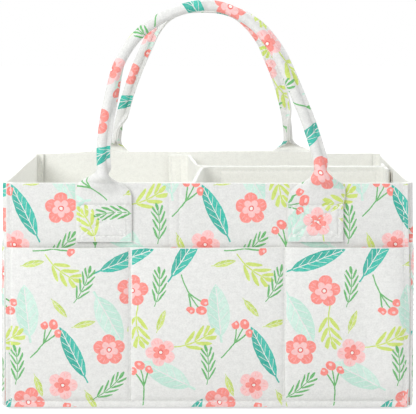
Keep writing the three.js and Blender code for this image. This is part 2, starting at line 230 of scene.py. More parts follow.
petals = 5
rosette, inside, out = new_group(
    "rosette",
    {"Place": "Vector", "Petals": "Color", "Heart": "Color", "Ring": "Color"},
    {"Mask": "Float", "Colour": "Color"},
)
along, side = parts_of(inside["Place"])
reach = arrow("LENGTH", inside["Place"])
turn = times(number("ARCTAN2", side, along), petals / 2)
toward_petal = number("ABSOLUTE", number("COSINE", turn))
toward_gap = number("ABSOLUTE", number("SINE", turn))
petal_edge = times_plus(to_power(toward_petal, 0.55), 0.36, 0.62)
heart_edge = times_plus(to_power(toward_gap, 0.7), 0.26, 0.3)
stroke = times(near_to(toward_gap, 0.36, 0.07), near_to(reach, 0.72, 0.12))
layer = painted(inside["Petals"], inside["Heart"], times(stroke, 0.55))
layer = painted(layer, inside["Heart"], below(reach, heart_edge))
layer = painted(layer, inside["Ring"], below(reach, 0.17))
join(painted(layer, colour("fdf6ee"), below(reach, 0.1)), out["Colour"])
join(below(reach, petal_edge), out["Mask"])


def own_plane(where, x, y, half_length, half_width, degrees=0):
    """The plane of something drawn there, in which it reaches 1 each way, and a mask of its oval."""
    plane = new_node(
        "Mapping", {
            "Vector": where, "Location": (x, y, 0), "Rotation": (0, 0, math.radians(degrees)),
            "Scale": (half_length, half_width, 1),
        }, vector_type="TEXTURE",
    )["Vector"]
    return plane, below(arrow("LENGTH", plane), 1)


def bent_and_folded(where, bend):
    """The motif's plane, bent into an arc along its stem, then folded so that both sides match."""
    along, side = parts_of(where)
    sag = times_plus(times(along, along), -bend, bend * 0.35)
    across = number("ABSOLUTE", number("ADD", side, sag))
    return along, across, new_node("CombineXYZ", {"X": along, "Y": across})["Vector"]


sprig, inside, out = new_group(
    "sprig",
    {"Place": "Vector", "Spacing": "Float", "Leaflet": "Float", "Middle": "Float", "Half run": "Float"},
    {"Mask": "Float"},
)
along, across, folded = bent_and_folded(inside["Place"], 0.35)
slanted = times_plus(across, -0.75, along)
from_leaflet = number("PINGPONG", slanted, times(inside["Spacing"], 0.5))
wide = to_power(number("DIVIDE", from_leaflet, inside["Leaflet"]), 2)
high = to_power(times_plus(across, 2.78, -1.17), 2)
in_run = near_to(slanted, inside["Middle"], inside["Half run"])
leaflets = times(below(number("ADD", wide, high), 1), in_run)
stem = times(below(across, 0.05), near_to(along, 0, 0.93))
tip = own_plane(folded, 0.8, 0, 0.19, 0.17)[1]
join(larger(larger(leaflets, stem), tip), out["Mask"])

berries, inside, out = new_group(
    "berries",
    {"Place": "Vector", "Stem": "Color", "Berry": "Color", "Glint": "Color"},
    {"Mask": "Float", "Colour": "Color"},
)
along, across, folded = bent_and_folded(inside["Place"], 0.25)
stem = times(below(across, 0.05), near_to(along, -0.18, 0.8))
fork = times(near_to(times_plus(along, 0.78, 0.117), across, 0.06), near_to(along, 0.18, 0.33))
fruit = larger(own_plane(folded, 0.74, 0, 0.2, 0.37)[1], own_plane(folded, 0.52, 0.62, 0.17, 0.31)[1])
glint = larger(own_plane(folded, 0.8, 0, 0.06, 0.11)[1], own_plane(folded, 0.57, 0.62, 0.05, 0.1)[1])
join(larger(larger(stem, fork), fruit), out["Mask"])
layer = painted(inside["Stem"], inside["Berry"], fruit)
join(painted(layer, inside["Glint"], glint), out["Colour"])

# The design repeats every 156 by 144 mm. Each kind of motif has its half length and half width, and
# the places and directions (in degrees) of its copies, all in millimetres on the flat cloth.
repeat_width = 156
repeat_height = 144
waver_scale = 0.16
waver_reach = 0.65
far_outside = (9, 9, 0)
botanical_print, inside, out = new_group(
    "botanical print", {"Cloth": "Vector"}, {"Ink": "Float", "Colour": "Color"}
)


def nearest_copy(where, half_length, half_width, copies):
    """The place in the motif's own plane, seen from whichever copy of it is here."""
    chosen = far_outside
    for x, y, degrees in copies:
        wrapped = arrow(
            "WRAP", where,
            (x + repeat_width / 2, y + repeat_height / 2, 1),
            (x - repeat_width / 2, y - repeat_height / 2, -1),
        )
        plane, here = own_plane(wrapped, x, y, half_length, half_width, degrees)
        chosen = new_node("Mix", {0: here, 4: chosen, 5: plane}, data_type="VECTOR")[1]
    return chosen


mint = {"Light": colour("d3efe2"), "Dark": colour("c6e9da"), "Vein spacing": 0.3, "Vein width": 0.013}
teal = {"Light": colour("32c2ae"), "Dark": colour("24b29f"), "Vein spacing": 0.27, "Vein width": 0.013}
lime_leaf = {"Light": colour("d3e574"), "Dark": colour("c6dc62"), "Vein spacing": 0.5, "Vein width": 0.02}
lime_sprig = {"Spacing": 0.42, "Leaflet": 0.14, "Middle": 0.0, "Half run": 0.63}
green_sprig = {"Spacing": 0.36, "Leaflet": 0.1, "Middle": -0.18, "Half run": 0.72}
berry = {"Stem": colour("66b869"), "Berry": colour("ff8b81"), "Glint": colour("ffd2ce")}
coral_rosette = {"Petals": colour("ff9188"), "Heart": colour("ffc9c7"), "Ring": colour("ef625c")}
pink_rosette = {"Petals": colour("ffcbca"), "Heart": colour("ff9188"), "Ring": colour("ef625c")}
millimetres = arrow("MULTIPLY", inside["Cloth"], (1000, 1000, 0))
waver = arrow(
    "MULTIPLY_ADD", cloud(millimetres, waver_scale, 2)["Color"],
    (2 * waver_reach, 2 * waver_reach, 0), (-waver_reach, -waver_reach, 0),
)
drawn = arrow("ADD", millimetres, waver)
ink = 0.0
layer = colour("f6f4ef")
for motif, half_length, half_width, look, plain_ink, copies in [
    (leaf, 25, 14, mint, None, [(58, 69, 96), (124, 66, -62), (17, 16, 152)]),
    (leaf, 27, 9.5, teal, None, [(31, 118, 58), (96, 34, 116), (137, 113, 22)]),
    (leaf, 10.5, 4, lime_leaf, None, [
        (62, 111, 12), (84, 74, -50), (11, 62, 70), (104, 60, 15), (67, 8, -70), (110, 139, -60),
    ]),
    (sprig, 20, 11, lime_sprig, colour("d0e36c"), [(86, 106, -38), (38, 46, 24), (149, 58, -84)]),
    (sprig, 18, 7.5, green_sprig, colour("64b868"), [
        (9, 91, 84), (49, 25, 92), (125, 6, 42), (104, 93, 66),
    ]),
    (berries, 20, 11, berry, None, [(36, 84, -60), (72, 47, 58), (152, 10, 96), (82, 125, 14)]),
    (rosette, 13.5, 13.5, coral_rosette, None, [(59, 137, 0), (125, 38, 20), (144, 88, 10)]),
    (rosette, 12.5, 12.5, pink_rosette, None, [(11, 36, 40), (87, 8, 0)]),
]:
    place = nearest_copy(drawn, half_length, half_width, copies)
    figure = new_node("Group", {"Place": place, **look}, node_tree=motif)
    layer = painted(layer, plain_ink or figure["Colour"], figure["Mask"])
    ink = larger(ink, figure["Mask"])
join(ink, out["Ink"])
join(layer, out["Colour"])


def felt_finish(name, ground, mottling, printed=False):
    """Felt in its ground colour. The print sits on the fibres' tips, stops short of cut edges,
    and thins away along the painted seam highlights.
    """
    finish, shader = new_finish(name, {
        "Roughness": 0.95, "Specular IOR Level": 0.2, "Sheen Weight": 0.15, "Sheen Roughness": 0.6,
    })
    cloth = new_node("UVMap", {}, finish.node_tree, uv_map="cloth")["UV"]
    surface = new_node("Group", {"Place": cloth}, node_tree=felt_surface)
    skin = ground
    if printed:
        drawing = new_node("Group", {"Cloth": cloth}, node_tree=botanical_print)
        taken = new_node("Attribute", {}, finish.node_tree, attribute_name="ink")["Fac"]
        reached = number("GREATER_THAN", taken, times_plus(surface["Mottle"], 0.5, 0.05))
        coverage = times(times_plus(surface["Mottle"], -0.4, 1.25), times(drawing["Ink"], reached))
        skin = painted(ground, drawing["Colour"], coverage)
    light = times_plus(surface["Mottle"], mottling, 0.996 - 0.8 * mottling)
    shaded = new_node("Mix", {0: 1, 6: skin, 7: light}, data_type="RGBA", blend_type="MULTIPLY")
    join(shaded[2], shader["Base Color"])
    bump = new_node("Bump", {"Strength": 0.6, "Distance": 0.0006, "Height": surface["Height"]})
    join(bump["Normal"], shader["Normal"])
    return finish


def flecked_finish(name, under, over, roughness, *grain):
    """Two close tones of one colour, in flecks of this grain."""
    finish, shader = new_finish(name, {"Roughness": roughness})
    spot = new_node("TexCoord", {}, finish.node_tree)["Object"]
    join(painted(colour(under), colour(over), cloud(spot, *grain)["Fac"]), shader["Base Color"])
    return finish


# The walls', bottom's and handles' printed felt has a darker ground than the pockets' copy of the same
# felt: painted shade on the band above the pockets and on the tabs
printed_felt_painted_shade = felt_finish("printed felt", colour("e6e6e3"), 0.42, printed=True)
# Plain felt's warm white is its own, but it is set brighter still: painted light for the shaded inside of
# the box
plain_felt = felt_finish("plain felt", colour("fafaf4"), 0.26)
cut_felt = felt_finish("cut felt edge", colour("eeeeea"), 0.34)
printed = (printed_felt_painted_shade, plain_felt, cut_felt)
plain = (plain_felt, plain_felt, cut_felt)
# White cotton thread, twisted, a little shinier than the felt
thread = flecked_finish("white thread", "e6e6e2", "fbfbf8", 0.6, 900)

# A felt piece starts as a flat grid, whose lines lie closer beside its edges and seams. Its points
# move to their places on the made-up caddy, it gets its thickness, and its seams get their stitches.
edge_margin = 0.0011
least_spacing = 1e-5
stitch_length = 0.0031
stitch_pitch = 0.0042
stitch_radius = 0.00042
seam_width = 0.0013
seam_press_share = 0.3
# How far beside a seam the print thins away, as a painted highlight of the seam's bright crease
worn_reach = 2.8 * seam_width
edge_rounding_share = 0.16
slack = 0.0007
slack_wavelength = 0.085
upright_slack_share = 0.6
height_of_full_slack = 0.1
# The drift's noise starts from the clock unless it is given a seed
noise.seed_set(7)


def clamped(share):
    return min(max(share, 0), 1)


def smoothed(share):
    """Goes gently from 0 to 1 as the share does."""
    share = clamped(share)
    return share * share * (3 - 2 * share)


def settled(point):
    """Sewn felt is never quite flat: the whole caddy wanders a little from its drawing."""
    drift = noise.noise_vector(Vector(point) / slack_wavelength) * slack
    drift.z *= clamped(point[2] / height_of_full_slack) * upright_slack_share
    return Vector(point) + drift


def lines(start, end, step, seams=()):
    """Where a mesh's lines lie from start to end: evenly, and closer beside the edges and seams."""
    kept = [start, start + edge_margin, end - edge_margin, end]
    for seam in seams:
        kept += [seam + k * seam_width / 2 for k in range(-3, 4)]
    kept = [x for x in kept if start <= x <= end]
    even = np.linspace(start, end, max(round((end - start) / step), 1) + 1)
    kept = sorted(kept + [x for x in even if min(abs(x - y) for y in kept) > edge_margin / 2])
    return [x for i, x in enumerate(kept) if i == 0 or x - kept[i - 1] > least_spacing]


def uprights(places, foot, top):
    """Upright rows of stitches at these places along the flat cloth."""
    return [((u, foot), (u, top)) for u in places]


def seam_distance(u, v, seams):
    """How far a point of the flat cloth is from the nearest row of stitches."""
    nearest = 1.0
    for (u0, v0), (u1, v1) in seams:
        run_u = u1 - u0
        run_v = v1 - v0
        share = clamped(((u - u0) * run_u + (v - v0) * run_v) / (run_u * run_u + run_v * run_v))
        nearest = min(nearest, math.hypot(u - u0 - share * run_u, v - v0 - share * run_v))
    return nearest


def stitched(name, place, seams, lift):
    """A row of stitches along each seam, on the side of the cloth that lift is for."""
    bpy.ops.object.select_all(action="DESELECT")
    bpy.ops.mesh.primitive_uv_sphere_add(segments=6, ring_count=5, radius=1)
    row = bpy.context.object
    row.name = row.data.name = name
    stitch_points = np.array([vertex.co for vertex in row.data.vertices])
    stitch_faces = [list(face.vertices) for face in row.data.polygons]
    near = 0.0004
    points = []
    faces = []
    for (u0, v0), (u1, v1) in seams:
        count = max(int(math.hypot(u1 - u0, v1 - v0) / stitch_pitch), 1)
        for n in range(count):
            u = u0 + (n + 0.5) / count * (u1 - u0)
            v = v0 + (n + 0.5) / count * (v1 - v0)
            along_u = settled(place(u + near, v)) - settled(place(u - near, v))
            along_v = settled(place(u, v + near)) - settled(place(u, v - near))
            outward = along_u.cross(along_v).normalized()
            run = (along_u.normalized() * (u1 - u0) + along_v.normalized() * (v1 - v0)).normalized()
            axes = [run * stitch_length / 2, outward.cross(run) * stitch_radius, outward * stitch_radius]
            start = len(points) * len(stitch_points)
            points.append(stitch_points @ np.array(axes) + np.array(settled(place(u, v)) + outward * lift))
            faces += [[start + i for i in face] for face in stitch_faces]
    row.data.clear_geometry()
    row.data.from_pydata(np.concatenate(points).tolist(), [], faces)
    row.data.polygons.foreach_set("use_smooth", [True] * len(faces))
    row.data.materials.append(thread)
    return row


def felt_piece(
    name, across, up, place, thickness, finishes, seams=(), inner_seams=(), offset=0.0,
    cut_from=(0, 0), on_cloth=None, pressing=None, keep=None, worn=(),
):
    """One cut piece of felt, and its stitching. place(u, v) says where a point of the flat cloth goes,
    seams show on its outer face, and along the lines of the last argument the print thins away,
    as a painted highlight of a seam's bright crease."""
    bpy.ops.object.select_all(action="DESELECT")
    bpy.ops.mesh.primitive_grid_add(x_subdivisions=len(across) - 1, y_subdivisions=len(up) - 1, size=1)
    piece = bpy.context.object
    piece.name = piece.data.name = name
    mesh = piece.data
    all_seams = [*seams, *inner_seams]
    cloth = []
    ink_taken = []
    felt_left = []
    for vertex in mesh.vertices:
        i = round((vertex.co.x + 0.5) * (len(across) - 1))
        j = round((vertex.co.y + 0.5) * (len(up) - 1))
        u = across[i]
        v = up[j]
        cloth.append((u, v))
        at_edge = i in (0, len(across) - 1) or j in (0, len(up) - 1)
        # The print thins beside these seam lines: a painted highlight of the bright crease along each
        seam_highlight = max([0] + [1 - abs(u - line) / worn_reach for line in worn])
        ink_taken.append(0.0 if at_edge else 1 - seam_highlight)
        pressed = seam_press_share * math.exp(-(seam_distance(u, v, all_seams) / seam_width) ** 2)
        felt_left.append((1 - pressed) * (pressing(u, v) if pressing else 1))
        vertex.co = settled(place(u, v))
    mesh.attributes.new("ink", "FLOAT", "POINT").data.foreach_set("value", ink_taken)
    weights = piece.vertex_groups.new(name="thickness")
    for n, left in enumerate(felt_left):
        weights.add([n], left, "REPLACE")
    layout = mesh.uv_layers[0]
    layout.name = "cloth"
    for loop in mesh.loops:
        u, v = cloth[loop.vertex_index]
        if on_cloth:
            u, v = on_cloth(u, v)
        layout.data[loop.index].uv = (u + cut_from[0], v + cut_from[1])
    if keep:
        bpy.ops.object.mode_set(mode="EDIT")
        bpy.ops.mesh.select_all(action="DESELECT")
        bpy.ops.object.mode_set(mode="OBJECT")
        for face in mesh.polygons:
            middle = np.mean([cloth[n] for n in face.vertices], axis=0)
            face.select = not keep(*middle)
        bpy.ops.object.mode_set(mode="EDIT")
        bpy.ops.mesh.delete(type="FACE")
        bpy.ops.object.mode_set(mode="OBJECT")
    for finish in finishes:
        mesh.materials.append(finish)
    wall = piece.modifiers.new("felt", "SOLIDIFY")
    wall.thickness = thickness
    wall.offset = offset
    wall.vertex_group = "thickness"
    wall.material_offset = 1
    wall.material_offset_rim = 2
    bpy.ops.object.modifier_apply(modifier="felt")
    rounding = piece.modifiers.new("rounding", "BEVEL")
    rounding.width = thickness * edge_rounding_share
    rounding.segments = 2
    rounding.limit_method = "ANGLE"
    rounding.angle_limit = math.radians(60)
    bpy.ops.object.modifier_apply(modifier="rounding")
    mesh.polygons.foreach_set("use_smooth", [True] * len(mesh.polygons))
    rows = []
    at_seam = thickness * (1 - seam_press_share)
    for suffix, shown, lift in (
        ("_stitching", seams, at_seam * (1 + offset) / 2),
        ("_inner_stitching", inner_seams, -at_seam * (1 - offset) / 2),
    ):
        if shown:
            rows.append(stitched(name + suffix, place, shown, lift))
    return piece, rows


def fitted(made, node, body):
    """The piece stands for its node, and moves with its body."""
    piece, rows = made
    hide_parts(node)
    for part in (piece, *rows):
        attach(part, body)


def middle_of(node, axis):
    """The middle of a node's box along its "x" or "y"."""
    return (getattr(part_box(node)[0], axis) + getattr(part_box(node)[1], axis)) / 2


def tape_rows_at(middle):
    """The places of the two rows of stitches that hold a tape."""
    return [middle - tape_row_spacing / 2, middle + tape_row_spacing / 2]


half_width = 0.165
half_depth = 0.117
rim_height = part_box("front_panel")[1].z
wall_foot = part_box("front_panel")[0].z
pocket_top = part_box("front_pocket")[1].z
foot_flare = 0.0036
wall_felt = 0.003
layer_gap = 0.0003
wall_step = 0.004
below_rim = 0.002
foot_seam = 0.0067
corner_seam = half_width - 0.004
tape_row_spacing = 0.0082
tape_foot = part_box("front_loop_tape")[0].z
tape_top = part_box("front_loop_tape")[1].z
# How far the back handle holds the back wall's rim up between the handle's ends, and where this starts
# and ends: each with the length over which it does
rim_held_up = 0.0022
held_up_from = (-0.15, 0.04)
held_up_to = (0.118, 0.025)


def spread(z):
    """How much wider the caddy is at this height than at the rim."""
    return 1 + foot_flare / half_width * (1 - z / rim_height)


for name, side, tape in (("front_panel", -1, "front_loop_tape"), ("back_panel", 1, "back_loop_tape")):
    def on_wall(u, v):
        x = -side * u * spread(v)
        held_up = rim_held_up * smoothed((x - held_up_from[0]) / held_up_from[1])
        held_up *= smoothed((held_up_to[0] - x) / held_up_to[1])
        z = v + (held_up * (v / rim_height) ** 4 if side > 0 else 0)
        return Vector((x, side * (half_depth - wall_felt / 2), z))

    tape_rows = tape_rows_at(-side * middle_of(tape, "x"))
    seams = uprights((-corner_seam, corner_seam), pocket_top, rim_height - below_rim)
    seams += uprights(tape_rows, tape_foot, tape_top)
    made = felt_piece(
        name + "_felt",
        lines(-half_width, half_width, wall_step, [-corner_seam, corner_seam, *tape_rows]),
        lines(wall_foot, rim_height, wall_step),
        on_wall, wall_felt, printed, seams, cut_from=(0.021 + 0.4 * side, 0.013),
    )
    fitted(made, name, "box")


# The end walls
# The same felt, bent round both corners and sewn behind the front and back walls. On the right one two
# pairs of rows hold the loop tapes for the divider.
def distance_along(points):
    """How far along a line each of its points is."""
    return np.concatenate([[0], np.cumsum(np.hypot(*np.diff(points, axis=0).T))])


def rounded(corners, steps=10):
    """A line through the corners, each rounded to its radius, and how far along it each point is."""
    line = []
    for n, (x, y, radius) in enumerate(corners):
        here = Vector((x, y))
        if not radius:
            line.append(here)
            continue
        before = (Vector(corners[n - 1][:2]) - here).normalized()
        after = (Vector(corners[n + 1][:2]) - here).normalized()
        half_turn = before.angle(after) / 2
        middle = here + (before + after).normalized() * radius / math.sin(half_turn)
        start = here + before * radius / math.tan(half_turn) - middle
        end = here + after * radius / math.tan(half_turn) - middle
        sweep = math.atan2(start.x * end.y - start.y * end.x, start.dot(end))
        for i in range(steps + 1):
            cos = math.cos(sweep * i / steps)
            sin = math.sin(sweep * i / steps)
            line.append(middle + Vector((start.x * cos - start.y * sin, start.x * sin + start.y * cos)))
    points = np.array(line)
    return points, distance_along(points)


def standing_on(points, distance, spreads=False):
    """Felt that stands on a line in plan: u runs along the line, and v is the height."""
    def place(u, v):
        x = np.interp(u, distance, points[:, 0])
        return Vector((x * spread(v) if spreads else x, np.interp(u, distance, points[:, 1]), v))

    return place


corner_radius = 0.004
corner_flange = 0.009
end_face = half_width + 0.0029
flange_y = half_depth - wall_felt - layer_gap - wall_felt / 2
end_middle = end_face - wall_felt / 2
wall_bend = corner_radius - wall_felt / 2
flange_end = end_face - corner_flange
flange_seam_foot = 0.008
bend_zone = 0.085
bend_zone_fade = 0.02
for name, side, bend_stands_out in (("left_side_panel", -1, 0.0007), ("right_side_panel", 1, 0.0017)):
    points, distance = rounded([
        (side * flange_end, -side * flange_y, 0),
        (side * end_middle, -side * flange_y, wall_bend),
        (side * end_middle, side * flange_y, wall_bend),
        (side * flange_end, side * flange_y, 0),
    ])
    length = distance[-1]
    tape_rows = []
    if side > 0:
        for tape in ("right_front_loop_tape", "right_back_loop_tape"):
            tape_rows += tape_rows_at(length / 2 + middle_of(tape, "y"))
    corner_rows = [corner_seam - flange_end, length - (corner_seam - flange_end)]
    bends = [corner_flange - wall_bend, length - corner_flange + wall_bend]
    upright_wall = standing_on(points, distance, spreads=True)

    def on_end_wall(u, v):
        place = upright_wall(u, v)
        at_corner = smoothed((abs(place.y) - bend_zone) / bend_zone_fade)
        # Above the pockets nothing presses the bends, so they stand out further
        place.x += side * bend_stands_out * at_corner * smoothed((v - pocket_top + 0.002) / 0.01)
        return place

    made = felt_piece(
        name + "_felt",
        lines(0, length, 0.0042, [*corner_rows, *tape_rows, *bends]),
        lines(wall_foot, rim_height, wall_step),
        on_end_wall, wall_felt, printed,
        uprights(tape_rows, tape_foot, tape_top),
        uprights(corner_rows, flange_seam_foot, rim_height - below_rim),
        cut_from=(0.83 + 0.3 * side, 0.072),
    )
    fitted(made, name, "box")


# The bottom
# One blank of the printed felt with its corners cut away, and its four flaps turned up inside the
# walls. A fibre board lies on it, and a loose felt lining over the board.
def turned_up(reach):
    """The profile of a blank whose two ends are turned up, and how far along it each point is."""
    points, distance = rounded([
        (-reach, flap_height, 0), (-reach, wall_felt / 2, wall_bend),
        (reach, wall_felt / 2, wall_bend), (reach, flap_height, 0),
    ])
    return points, distance - distance[-1] / 2


bottom_step = 0.006
flap_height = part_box("bottom_panel")[1].z
flap_x = end_face - wall_felt - layer_gap - wall_felt / 2
flap_y = flange_y
end_flap_half = half_depth - 0.009
long_flap_half = end_face - 0.012
long_profile, long_distance = turned_up(flap_x)
short_profile, short_distance = turned_up(flap_y)


def on_bottom(u, v):
    x, up_at_ends = (np.interp(u, long_distance, long_profile[:, k]) for k in (0, 1))
    y, up_at_sides = (np.interp(v, short_distance, short_profile[:, k]) for k in (0, 1))
    z = max(up_at_ends, up_at_sides)
    return Vector((x * spread(z), y, z))


long_bends = [-long_flap_half, long_flap_half, -flap_x, flap_x]
short_bends = [-end_flap_half, end_flap_half, -flap_y, flap_y]
made = felt_piece(
    "bottom_panel_felt",
    lines(long_distance[0], long_distance[-1], bottom_step, long_bends),
    lines(short_distance[0], short_distance[-1], bottom_step, short_bends),
    on_bottom, wall_felt, (plain_felt, printed_felt_painted_shade, cut_felt), cut_from=(0.33, 0.61),
    keep=lambda u, v: abs(u) < long_flap_half or abs(v) < end_flap_half,
)
fitted(
    made, "bottom_panel", "box",
)

lining_low, lining_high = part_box("bottom_lining")
lining_play = 0.0005
lining_x = lining_high.x - lining_play
lining_y = lining_high.y - lining_play
made = felt_piece(
    "bottom_lining_felt",
    lines(-lining_x, lining_x, bottom_step), lines(-lining_y, lining_y, bottom_step),
    lambda u, v: Vector((u, v, (lining_low.z + lining_high.z) / 2)),
    lining_high.z - lining_low.z, plain,
)
fitted(made, "bottom_lining", "box")

fibre_board = flecked_finish("fibre board", "a98f68", "c9b08a", 0.85, 240, 5, 0.7)
for material_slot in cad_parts["base_board"].material_slots:
    material_slot.material = fibre_board


# The outer pockets
# One sheet of thinner felt on each side, sewn through the wall at its foot, its ends and its
# upright seams. Between the seams it stands off the wall, most at the mouth. It is the walls' printed
# felt without the painted shade that darkens the walls' copy, so its ground is lighter.
pocket_finishes = (felt_finish("printed pocket felt", colour("ebebe8"), 0.42, printed=True), *printed[1:])
pocket_felt = 0.0024
pocket_step = 0.0035
pocket_seam_height = 0.008
pocket_seam = 0.063
pocket_seam_pull = 0.003
pocket_seam_press = 0.25
side_bend_start = flange_y + wall_felt / 2 - corner_radius
corner_wrap = math.radians(60)
corner_felt_share = 0.35
end_roll_length = 0.011
end_swell = 0.004
end_swell_fade = 0.03
end_drawn_in = 0.001


def stand_off(u, v, held_at, gape, flatness):
    """How far a pocket sheet stands off the wall between the places where it is held."""
    span = min(max(np.searchsorted(held_at, u), 1), len(held_at) - 1)
    share = (u - held_at[span - 1]) / (held_at[span] - held_at[span - 1])
    from_middle = abs(2 * clamped(share) - 1)
    rise = max(v - pocket_seam_height, 0) / (pocket_top - pocket_seam_height)
    # No two pockets are quite equally full
    fullness = 0.94 + 0.1 * math.sin(2.3 * span)
    return layer_gap + gape * fullness * (1 - from_middle ** 2.6) ** flatness * rise ** 0.5


def end_roll(from_end, v):
    """How far a long pocket swells beside its last seam, from where it rolls back to its cut end."""
    rise = 1 - (1 - min(from_end / end_roll_length, 1)) ** 2
    fall = 1 - smoothed((from_end - end_roll_length) / end_swell_fade)
    at_foot = smoothed((v - foot_seam) / 0.02)
    at_mouth = 1 - 0.5 * smoothed((v - 0.095) / 0.03)
    return end_swell * rise * fall * at_foot * at_mouth


def pocket(name, on_pocket, half_length, seam_places, bends, held, **making):
    """A pocket sheet, with a row of stitches along its foot and upright ones at these places."""
    seams = [((seam_places[0], foot_seam), (seam_places[-1], foot_seam))]
    seams += uprights(seam_places, foot_seam, pocket_top - 0.001)
    made = felt_piece(
        name + "_felt", lines(-half_length, half_length, pocket_step, [*seam_places, *bends]),
        lines(wall_foot, pocket_top, pocket_step, [foot_seam]), on_pocket, pocket_felt,
        pocket_finishes, seams, offset=1, **making,
    )
    fitted(made, name, "box")


for name, side, cut_from in (("front_pocket", -1, (0.517, 0.275)), ("back_pocket", 1, (1.13, 0.44))):
    def on_long_pocket(u, v):
        out_by = stand_off(u, v, [-half_width, -pocket_seam, pocket_seam, half_width], 0.0034, 1)
        out_by += end_roll(half_width - u, v)
        drawn_in = end_drawn_in * smoothed((u - half_width + 0.02) / 0.02)
        return Vector((-side * (u - drawn_in) * spread(v), side * (half_depth + out_by), v))

    def seam_pressing(u, v):
        nearest = min(abs(u - seam) for seam in (-pocket_seam, pocket_seam))
        return 1 - pocket_seam_press * math.exp(-(nearest / pocket_seam_pull) ** 2)

    # The print thins beside the two upright seams, as a painted highlight of their bright creases
    pocket(
        name, on_long_pocket, half_width, [-corner_seam, -pocket_seam, pocket_seam, corner_seam], [],
        "stretched", cut_from=cut_from, pressing=seam_pressing, worn=(-pocket_seam, pocket_seam),
    )

end_seam = side_bend_start - 0.002
pocket_end = side_bend_start + corner_wrap * corner_radius
for name, side, cut_from in (("left_pocket", -1, (0.21, 0.93)), ("right_pocket", 1, (0.74, 1.21))):
    def on_end_pocket(u, v):
        past = max(abs(u) - side_bend_start, 0) / corner_radius
        reach = corner_radius + stand_off(u, v, [-side_bend_start, 0, side_bend_start], 0.004, 2)
        x = end_face - corner_radius + reach * math.cos(past)
        y = min(abs(u), side_bend_start) + reach * math.sin(past)
        return Vector((side * x * spread(v), side * math.copysign(y, u), v))

    def corner_pressing(u, v):
        return corner_felt_share + (1 - corner_felt_share) * smoothed((side_bend_start - abs(u)) / 0.01)

    # The print thins beside the middle seam, as a painted highlight of its bright crease
    pocket(
        name, on_end_pocket, pocket_end, [-end_seam, 0, end_seam], [-side_bend_start, side_bend_start],
        "folded", cut_from=cut_from, pressing=corner_pressing, worn=(0,),
    )


# The divider
# Two strips of plain felt, bent and sewn back to back along the middle wall. Each turns away at the
# cross wall, and its ends are flaps that lie on the caddy's walls, with a hook tape sewn behind.
divider_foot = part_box("divider_front_leaf")[0].z
divider_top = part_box("divider_front_leaf")[1].z
leaf_bend = 0.0045
junction_bend = 0.014
flap_length = 0.020
middle_wall_y = 0.009
tape_thickness = 0.0012
tape_stack = 2 * tape_thickness + 3 * layer_gap
flap_face_y = half_depth - wall_felt - tape_stack - wall_felt / 2
flap_face_x = end_face - wall_felt - tape_stack - wall_felt / 2
leaf_offset = (wall_felt + layer_gap) / 2
seam_inset = 0.004
top_row = divider_top - seam_inset
for name, side, cross_x, junction_x in (
    ("divider_front_leaf", -1, -0.0115, -0.005), ("divider_back_leaf", 1, -0.018, -0.0093),
):
    wall_y = middle_wall_y + side * leaf_offset
    points, distance = rounded([
        (cross_x - flap_length, side * flap_face_y, 0),
        (cross_x, side * flap_face_y, leaf_bend),
        (junction_x, wall_y, junction_bend),
        (flap_face_x, wall_y, leaf_bend),
        (flap_face_x, wall_y + side * flap_length, 0),
    ])
    length = distance[-1]
    near_end = length - flap_length - 0.006
    junction = flap_length + abs(side * flap_face_y - wall_y) + 0.010
    way = "front" if side < 0 else "back"
    cross_place = middle_of(f"{way}_hook_tape", "x") - (cross_x - flap_length)
    end_tape_y = middle_of(f"right_{way}_hook_tape", "y")
    cross_rows = tape_rows_at(cross_place)
    end_rows = tape_rows_at(length - abs(wall_y + side * flap_length - end_tape_y))
    wall_seams = [((junction, top_row), (near_end, top_row))]
    wall_seams += uprights((junction, near_end), divider_foot + seam_inset, top_row)
    wall_seams += uprights(end_rows, tape_foot, tape_top)
    flap_seams = uprights(cross_rows, tape_foot, tape_top)
    # The wall rows show on the front leaf's outer face, but its cross flap shows its inner face, and
    # the back leaf is the other way round
    outer_rows, inner_rows = (wall_seams, flap_seams) if side < 0 else (flap_seams, wall_seams)
    made = felt_piece(
        name + "_felt", lines(0, length, 0.0035, [junction, near_end, *cross_rows, *end_rows]),
        lines(divider_foot, divider_top, 0.0045, [top_row]),
        standing_on(points, distance), wall_felt, plain, outer_rows, inner_rows,
    )
    fitted(made, name, "divider")

# The hook and loop tapes
# Narrow woven tapes of nylon. The loop halves are sewn to the caddy's walls and the hook halves to the
# divider's flaps, so the divider holds fast and pulls out.
pressed_tape_share = 0.92
tape_finish, shader = new_finish("hook and loop tape", {"Roughness": 0.7})
spot = new_node("TexCoord", {}, tape_finish.node_tree)["Object"]
bristle = new_node("TexVoronoi", {"Vector": spot, "Scale": 900})["Distance"]
join(painted(colour("f2f0ea"), colour("cfccc2"), bristle), shader["Base Color"])
bump = new_node("Bump", {"Distance": 0.0004, "Height": bristle})
join(bump["Normal"], shader["Normal"])
for wall in ("front", "back", "right_front", "right_back"):
    for half, body in (("hook", "divider"), ("loop", "box")):
        name = f"{wall}_{half}_tape"
        low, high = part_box(name)
        middle = (low + high) / 2
        runs_along_y = wall.startswith("right")
        width = high.y - low.y if runs_along_y else high.x - low.x

        def on_tape(u, v):
            if runs_along_y:
                return Vector((middle.x, middle.y + u, v))
            return Vector((middle.x + u, middle.y, v))

        made = felt_piece(
            name + "_strip", lines(-width / 2, width / 2, 0.002), lines(low.z, high.z, 0.004),
            on_tape, tape_thickness * pressed_tape_share, (tape_finish,) * 3,
        )
        fitted(made, name, body)


